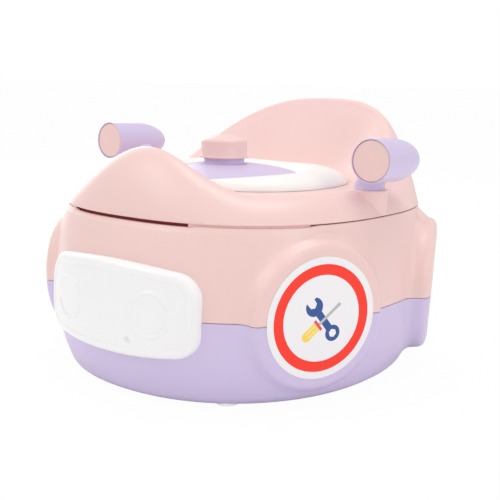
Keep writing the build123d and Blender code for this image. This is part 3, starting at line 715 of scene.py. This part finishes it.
@dataclass(frozen=True)
class HandleForm:
    """Handle: a foot moulded on the seat, a leaning post and a bullet-shaped bar with a disc in its end."""

    foot_x: float = 147.0
    foot_y: float = 7.0
    foot_radius: float = 17.6
    foot_base: float = 164.0
    foot_shoulder: float = 180.0
    foot_top: float = 187.0
    foot_edge: float = 1.6
    post_y: float = 8.0
    post_base: float = 187.1
    post_height: float = 24.9
    post_radii: Pair = (14.0, 11.5)
    post_flare: float = 0.8
    post_lean: Pair = (11.0, 2.0)
    bar_spot: Triple = (168.0, -26.5, 216.0)
    bar_yaw: float = 2.4
    bar_drop: float = 2.0
    bar_radius: float = 19.7
    bar_straight: float = 38.0
    bar_length: float = 80.0
    groove_radius: float = 18.8
    disc_radius: float = 18.6

    def foot_profile(self) -> Pairs:
        """Foot that the seat carries the handle on."""
        middle = (self.foot_radius - self.foot_edge, self.foot_top - self.foot_edge)
        side = [(self.foot_radius, self.foot_base), (self.foot_radius, self.foot_shoulder)]
        return [(0.1, self.foot_base), *side, *arc(middle, self.foot_edge, 0, 90, 6), (0.1, self.foot_top)]

    def place(self, side: int) -> Matrix:
        """Placement with the bar's front end on the XY plane and Z back along it."""
        yaw, drop = math.radians(self.bar_yaw), math.radians(self.bar_drop)
        back = Vector((-side * math.sin(yaw) * math.cos(drop), math.cos(yaw) * math.cos(drop),
                       -math.sin(drop)))
        across = Vector((math.cos(yaw), side * math.sin(yaw), 0))
        turn = Matrix((across, back.cross(across), back)).transposed().to_4x4()
        x, y, z = self.bar_spot
        return Matrix.Translation((side * x, y, z)) @ turn

    def bar_profile(self) -> Pairs:
        """Bar from the groove around the disc, over its front edge and along it to its nose."""
        nose = [(self.bar_radius * math.cos(turn) ** 0.9,
                 mix(self.bar_straight, self.bar_length, math.sin(turn) ** 1.06))
                for turn in np.linspace(0, math.pi / 2 - 0.004, 40)]
        return [(self.groove_radius, 2.6), (self.groove_radius, 0.4),
                *arc((self.groove_radius + 0.45, 0.45), 0.45, 180, 360, 8), (self.bar_radius, 1.2), *nose]

    def disc_profile(self) -> Pairs:
        """Disc in the bar's front end, from its edge to its middle."""
        face = [(0.05, 0.6), (10, 0.62), (16.6, 0.7), *arc((self.disc_radius - 1.4, 2.1), 1.4, 270, 360, 6)]
        return [(self.disc_radius, 3.0), *reversed(face)]

    def post_rows(self, side: int) -> Array:
        """Rows of the post, which leans outwards as it rises."""
        ring = around(96)
        rows = []
        for share in np.linspace(0, 1, 20):
            bend = share ** 2
            thick = mix(*self.post_radii, bend) + self.post_flare * max(1 - share * 9, 0) ** 2
            out, back = self.post_lean
            rows.append(level(side * (self.foot_x + out * bend) + thick * np.cos(ring),
                              self.post_y + back * bend + thick * np.sin(ring),
                              self.post_base + self.post_height * share))
        return np.array(rows)


@dataclass(frozen=True)
class PlateForm:
    """White front plate, drawn by its width and height: outline, raised rim, lamp rings and dimple."""

    half_width: float = 92.0
    corner: float = 20.0
    middle_z: float = 84.0
    top_z: float = 128.0
    top_fall: float = 8.0
    bottom_z: float = 45.0
    bottom_rise: float = 6.0
    field: float = 7.2
    rim: float = 0.8
    edge: float = 4.5
    lamp_x: float = 51.0
    lamp_z: float = 86.0
    lamp_radius: float = 19.0
    lamp_height: float = 1.0
    dimple: Pair = (29.0, 61.0)
    dimple_depth: float = 2.2
    sunk: float = 0.5
    rim_slope: Pair = (-9.0, -7.4)       # distances from the edge
    lamp_line: Pair = (0.8, 2.1)         # distances from the ring's middle line
    lamp_break: Pair = (14.0, 19.0)      # degrees from level, where the ring stops
    dimple_slope: Pair = (1.6, 3.8)
    columns: int = 480
    ring_rows: int = 150
    crowding: float = 1.15         # how closely the rows lie near the edge
    search_start: float = 30.0
    search_steps: int = 60
    search_pace: float = 0.8

    def distance(self, x: Array, z: Array) -> Array:
        """Distance to the plate's edge, negative inside."""
        top = self.top_z - self.top_fall * (x / self.half_width) ** 2
        bottom = self.bottom_z + self.bottom_rise * (x / self.half_width) ** 2
        dx = np.abs(x) - (self.half_width - self.corner)
        dz = np.abs(z - (bottom + top) / 2) - ((top - bottom) / 2 - self.corner)
        outside = np.hypot(np.maximum(dx, 0), np.maximum(dz, 0))
        return outside + np.minimum(np.maximum(dx, dz), 0) - self.corner

    def outline(self) -> Array:
        """Points of the plate's edge, found outwards from its middle."""
        angle = -around(self.columns)
        along, up = np.cos(angle), np.sin(angle)
        reach = np.full(self.columns, self.search_start)
        for _ in range(self.search_steps):
            reach -= self.search_pace * self.distance(reach * along, self.middle_z + reach * up)
        return np.stack([reach * along, self.middle_z + reach * up], -1)

    def height(self, x: Array, z: Array) -> Array:
        """How far the plate's face stands off the body."""
        edge = self.distance(x, z)
        height = self.field + self.rim * smooth_step(*self.rim_slope, edge)
        turned = np.clip(edge + self.edge, 0, self.edge) / self.edge
        height -= self.edge * (1 - np.sqrt(np.clip(1 - turned ** 2, 0, 1)))
        for side in (-1, 1):
            dx, dz = x - side * self.lamp_x, z - self.lamp_z
            bearing = np.abs((np.degrees(np.arctan2(dz, dx)) + 90) % 180 - 90)
            line = np.abs(np.hypot(dx, dz) - self.lamp_radius)
            raised = (1 - smooth_step(*self.lamp_line, line)) * smooth_step(*self.lamp_break, bearing)
            height += self.lamp_height * raised
        away = np.hypot(x - self.dimple[0], z - self.dimple[1])
        return height - self.dimple_depth * (1 - smooth_step(*self.dimple_slope, away))

    def rows(self, body: BodyForm) -> Array:
        """Rows from behind the plate's edge to its middle, laid on the body's front."""
        middle = np.array([0.0, self.middle_z])
        shares = 1 - np.linspace(1, 0, self.ring_rows) ** self.crowding
        flat = middle + (self.outline()[None] - middle) * shares[:, None, None]
        x, z = flat[..., 0], flat[..., 1]
        face = np.stack([x, body.front_y(x, z) - self.height(x, z), z], -1)
        back = face[-1].copy()
        back[:, 1] = body.front_y(back[:, 0], back[:, 2]) + self.sunk
        return np.concatenate([face, back[None]])[::-1]


@dataclass(frozen=True)
class LabelForm:
    """Printed disc on a boss: a flat round label with a ring of ink near its edge."""

    radius: float = 54.5
    thickness: float = 0.6
    edge: float = 0.3
    ring_radius: float = 48.1
    ring_hole: float = 38.7
    ink: float = 0.06

    def disc_profile(self) -> Pairs:
        """Label from its foot to its middle."""
        middle = (self.radius - 0.2, self.thickness - self.edge)
        return [(self.radius, 0.02), *arc(middle, self.edge, 0, 90, 4), (0.05, self.thickness)]

    def ring_profile(self) -> Pairs:
        """Section of the inked ring."""
        low, high = self.thickness, self.thickness + self.ink
        outer, inner = self.ring_radius, self.ring_hole
        return [(outer, low), (outer, high), (inner, high), (inner, low)]


class ToolDrawing:
    """Draws a wrench crossed with a screwdriver in flat inks, the later ones a little higher."""

    def __init__(self, label: Piece, place: Matrix) -> None:
        self.label = label
        self.place = place

    def _print(self, tilt: float, shift: Pair,
               inks: Iterable[tuple[Shades, float, Pairs]]) -> None:
        """Prints outlines, each in its ink and at its height, turned by some degrees and shifted."""
        c, s = math.cos(math.radians(tilt)), math.sin(math.radians(tilt))
        for shade, height, outline in inks:
            turned = [(x * c - y * s + shift[0], x * s + y * c + shift[1]) for x, y in outline]
            self.label.prism(turned, height, self.place, INKS.index(shade))

    @staticmethod
    def _bar(half_width: float, start: float, end: float) -> Pairs:
        """Upright rectangle."""
        return [(-half_width, start), (half_width, start), (half_width, end), (-half_width, end)]

    def wrench(self) -> None:
        """Handle, open jaw, ring end and the ring's hole."""
        jaw = [*arc((0, 16), 8.6, 118, 402, 24), (3.9, 22), (3.6, 17), (0, 14.6), (-3.6, 17), (-3.9, 22)]
        eye = (0, -16.2)
        self._print(38.4, (1.8, -1.6), [(Shades.BLUE, 0.70, self._bar(3.3, -11, 10)),
                                        (Shades.BLUE, 0.705, jaw),
                                        (Shades.BLUE, 0.705, arc(eye, 7.4, 0, 360, 36)[:-1]),
                                        (Shades.LABEL, 0.72, arc(eye, 3.9, 10, 310, 5))])

    def screwdriver(self) -> None:
        """Shaft, handle with two light stripes, and collar."""
        shaft = [(-1.3, 0), (1.3, 0), (1.3, 19), *arc((0, 26.4), 1.7, -20, 200, 8), (-1.3, 19)]
        grip = [(-4.2, -1), *arc((0, -15.2), 4.5, 180, 360, 12), (4.2, -1)]
        stripes = [[(middle - 0.7, -2), *arc((middle, -14), 0.7, 180, 360, 6), (middle + 0.7, -2)]
                   for middle in (-2.0, 2.0)]
        self._print(-51.0, (-3.2, -5.6), [(Shades.SHAFT, 0.73, shaft),
                                          (Shades.YELLOW, 0.735, grip),
                                          *((Shades.STRAW, 0.745, stripe) for stripe in stripes),
                                          (Shades.COLLAR, 0.75, self._bar(5.6, -1.6, 0.9))])


# ---- chair


class ChairBuilder:
    """Builds every shown piece and puts it on its body."""

    plain = {Shades.STEEL: ("panel_screws", "hinge_pins", "base_screws", "handle_screws", "knob_screw"),
             Shades.RUBBER: ("rubber_feet", "seat_bumpers"),
             Shades.WHITE: ("cushion_pegs",),
             Shades.BOWL: ("potty_bowl",)}

    def __init__(self, library: MaterialLibrary) -> None:
        self.library = library
        self.body_form = BodyForm()
        self.seat_form = SeatForm()
        self.handle_form = HandleForm()

    def _show(self, piece: Piece, body: Bodies, shades: Sequence[Shades], *nodes: str,
              merge: bool = True) -> bpy.types.Object:
        """Makes a piece in its finishes and puts it on its body, in place of its CAD nodes."""
        obj = piece.build([self.library.get(shade) for shade in shades], merge)
        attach(obj, body.value)
        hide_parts(*nodes)
        return obj

    def body(self) -> None:
        """Lower tub and upper shell, with softened edges along the seam between them.

        Behind the front of the rim stand two lips, and a dark sheet of painted shade for the finger gap.
        """
        form = self.body_form
        tub = Piece("tub_skin")
        tub.grid(form.tub_rows(), cap_first=True)
        self._show(tub, Bodies.BODY, [Shades.LAVENDER], "base_tub")
        shell = Piece("upper_skin")
        shell.grid(form.shell_rows())
        for ends in form.lips:
            shell.grid(form.strip(ends, form.lip_inset, form.lip_rise), closed=False)
        # painted shade: the dark sheet behind the finger gap, in its own finish
        shell.grid(form.strip(form.gap_shade_ends, form.gap_shade_inset, form.gap_shade_rise), closed=False, slot=1)
        self._show(shell, Bodies.BODY, [Shades.PINK, Shades.DEPTH], "body_shell")

    def seat(self) -> None:
        """Seat shell with its collar and the two feet that carry the handles."""
        seat = Piece("seat_skin")
        seat.grid(self.seat_form.rows())
        foot = self.handle_form
        for side in (-1, 1):
            spot = Matrix.Translation((side * foot.foot_x, foot.foot_y, 0))
            seat.revolve(foot.foot_profile(), spot, segments=96)
        self._show(seat, Bodies.SEAT, [Shades.PINK], "seat_shell")

    def cushion(self) -> None:
        """Soft ring on the pan."""
        ring = Piece("soft_ring")
        ring.grid(CushionForm().rows(self.seat_form.pan, self.seat_form.pan_z))
        obj = self._show(ring, Bodies.SEAT, [Shades.CUSHION], "seat_cushion")

    def lid(self) -> None:
        """Domed lid with its neck, and the knob on it."""
        form = LidForm()
        lid = Piece("lid_skin")
        lid.grid(form.rows(), cap_last=True)
        lid.revolve(form.neck, Matrix.Translation((0, OPENING_Y, 0)))
        self._show(lid, Bodies.LID, [Shades.LAVENDER], "lid")
        knob = Piece("knob_skin")
        knob.revolve(form.knob_profile(), Matrix.Translation((0, OPENING_Y, form.knob_z)))
        self._show(knob, Bodies.LID, [Shades.PINK], "lid_knob")

    def handles(self) -> None:
        """Handles with their posts, and the discs in their front ends."""
        form = self.handle_form
        for side, name in ((-1, "left"), (1, "right")):
            place = form.place(side)
            bar = Piece(f"handle_skin_{name}")
            bar.revolve(form.bar_profile(), place)
            bar.grid(form.post_rows(side), cap_first=True, cap_last=True)
            self._show(bar, Bodies.SEAT, [Shades.LAVENDER], f"handle_{name}")
            disc = Piece(f"handle_disc_{name}")
            disc.revolve(form.disc_profile(), place)
            self._show(disc, Bodies.SEAT, [Shades.PINK], f"handle_cap_{name}")

    def front_plate(self) -> None:
        """White plate that wraps the body's front, with a raised rim and two broken lamp rings."""
        plate = Piece("front_plate_skin")
        plate.grid(PlateForm().rows(self.body_form))
        self._show(plate, Bodies.BODY, [Shades.WHITE], "front_panel")

    def labels(self) -> None:
        """Printed discs on the bosses: a red ring around a wrench crossed with a screwdriver."""
        form = LabelForm()
        for boss in BOSSES:
            place = boss.place()
            label = Piece(f"label_{boss.name}")
            label.revolve(form.disc_profile(), place, segments=192)
            label.revolve(form.ring_profile(), place, slot=INKS.index(Shades.RED), segments=192,
                          closed_profile=True)
            drawing = ToolDrawing(label, place)
            drawing.wrench()
            drawing.screwdriver()
            self._show(label, Bodies.BODY, INKS, f"wheel_label_{boss.name}", merge=False)

    def plain_nodes(self, nodes: dict[str, bpy.types.Object]) -> None:
        """Gives the CAD nodes that stay shown their materials."""
        for shade, names in self.plain.items():
            for name in names:
                mesh = nodes[name].data
                mesh.materials.clear()
                mesh.materials.append(self.library.get(shade))

    def build(self, nodes: dict[str, bpy.types.Object]) -> None:
        """Builds the whole chair."""
        steps = (self.body, self.seat, self.cushion, self.lid, self.handles, self.front_plate, self.labels)
        for step in steps:
            step()
            LOG.info("built %s", step.__name__)
        self.plain_nodes(nodes)


# ---- stage


@dataclass(frozen=True)
class CameraFit:
    """Camera that looks at the chair as the photograph does. Its place is in millimetres."""

    place: Triple = (587.8, -716.2, 283.4)
    yaw: float = 38.75
    pitch: float = -10.52
    roll: float = 1.07
    lens: float = 65.6

    def add(self) -> None:
        """Adds the camera and makes it the scene's own."""
        yaw, pitch, roll = (math.radians(value) for value in (self.yaw, self.pitch, self.roll))
        ahead = Vector((-math.sin(yaw) * math.cos(pitch), math.cos(yaw) * math.cos(pitch), math.sin(pitch)))
        right = Vector((math.cos(yaw), math.sin(yaw), 0))
        up = right.cross(ahead)
        right, up = (right * math.cos(roll) + up * math.sin(roll),
                     up * math.cos(roll) - right * math.sin(roll))
        data = bpy.data.cameras.new("camera")
        data.lens = self.lens
        data.sensor_width = 36
        data.clip_start = 0.01
        obj = bpy.data.objects.new("camera", data)
        obj.matrix_world = (Matrix.Translation(Vector(self.place) * MM)
                            @ Matrix((right, up, -ahead)).transposed().to_4x4())
        bpy.context.collection.objects.link(obj)
        bpy.context.scene.camera = obj


@dataclass(frozen=True)
class Lamp:
    """One round area light, in metres and watts."""

    name: str
    place: Triple
    size: float
    watts: float
    aim: Triple = (0, 0, 0.12)

    def add(self) -> None:
        """Adds the light, aimed at the chair."""
        data = bpy.data.lights.new(self.name, "AREA")
        data.shape = "DISK"
        data.size = self.size
        data.energy = self.watts
        obj = bpy.data.objects.new(self.name, data)
        obj.location = self.place
        obj.rotation_euler = (Vector(self.place) - Vector(self.aim)).to_track_quat("Z", "Y").to_euler()
        bpy.context.collection.objects.link(obj)


class Stage:
    """Floor, world, lights and render settings."""

    lamps = (
        Lamp("key", (-1.0, -1.5, 1.6), 1.2, 8.8),
        Lamp("side", (1.9, -0.4, 1.0), 1.0, 6),
        Lamp("top", (0.2, 0.2, 2.2), 1.2, 12.5),
        Lamp("back", (-1.9, 0.8, 0.8), 1.6, 14),
    )
    sky = 0.69              # strength of the world's light on the chair
    floor_white = 0.965     # how much of the floor that the camera sees is plain white
    floor_half_size = 60.0
    floor_colour = (0.93, 0.93, 0.93, 1)

    def build(self) -> None:
        """Sets the whole stage."""
        self._world()
        self._floor()
        for lamp in self.lamps:
            lamp.add()
        scene = bpy.context.scene
        scene.render.engine = "CYCLES"
        scene.render.resolution_x = scene.render.resolution_y = 1000
        scene.view_settings.view_transform = "Standard"
        scene.cycles.samples = 256
        scene.cycles.use_denoising = True

    def _world(self) -> None:
        world = bpy.data.worlds.new("studio")
        bpy.context.scene.world = world
        world.use_nodes = True
        graph = Graph(world.node_tree)
        graph.nodes.clear()
        path = graph.add("ShaderNodeLightPath")
        seen = graph.add("ShaderNodeBackground", {"Color": WHITE_LIGHT, "Strength": 1.0})
        glow = graph.add("ShaderNodeBackground", {"Color": WHITE_LIGHT, "Strength": self.sky})
        choose = graph.add("ShaderNodeMixShader")
        result = graph.add("ShaderNodeOutputWorld")
        graph.join(path, "Is Camera Ray", choose, 0)
        graph.join(glow, "Background", choose, 1)
        graph.join(seen, "Background", choose, 2)
        graph.join(choose, "Shader", result, "Surface")

    def _floor(self) -> None:
        mesh = bpy.data.meshes.new("floor")
        size = self.floor_half_size
        mesh.from_pydata([(-size, -size, 0), (size, -size, 0), (size, size, 0), (-size, size, 0)], [],
                         [(0, 1, 2, 3)])
        floor = bpy.data.objects.new("floor", mesh)
        bpy.context.collection.objects.link(floor)
        material = bpy.data.materials.new("floor")
        material.use_nodes = True
        graph = Graph(material.node_tree)
        shader = graph.nodes["Principled BSDF"]
        graph.fill(shader, {"Base Color": self.floor_colour, "Roughness": 0.9})
        white = graph.add("ShaderNodeEmission")
        path = graph.add("ShaderNodeLightPath")
        seen = graph.add("ShaderNodeMath", {1: self.floor_white}, "MULTIPLY")
        blend = graph.add("ShaderNodeMixShader")
        graph.join(path, "Is Camera Ray", seen, 0)
        graph.join(seen, "Value", blend, 0)
        graph.join(shader, "BSDF", blend, 1)
        graph.join(white, "Emission", blend, 2)
        graph.join(blend, "Shader", graph.nodes["Material Output"], "Surface")
        mesh.materials.append(material)


def main() -> None:
    """Builds the scene around the frame."""
    logging.basicConfig(level=logging.INFO, format="%(name)s: %(message)s")
    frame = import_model()
    ChairBuilder(MaterialLibrary()).build(frame["nodes"])
    CameraFit().add()
    Stage().build()
    bpy.context.view_layer.update()


if __name__ == "__main__":
    main()
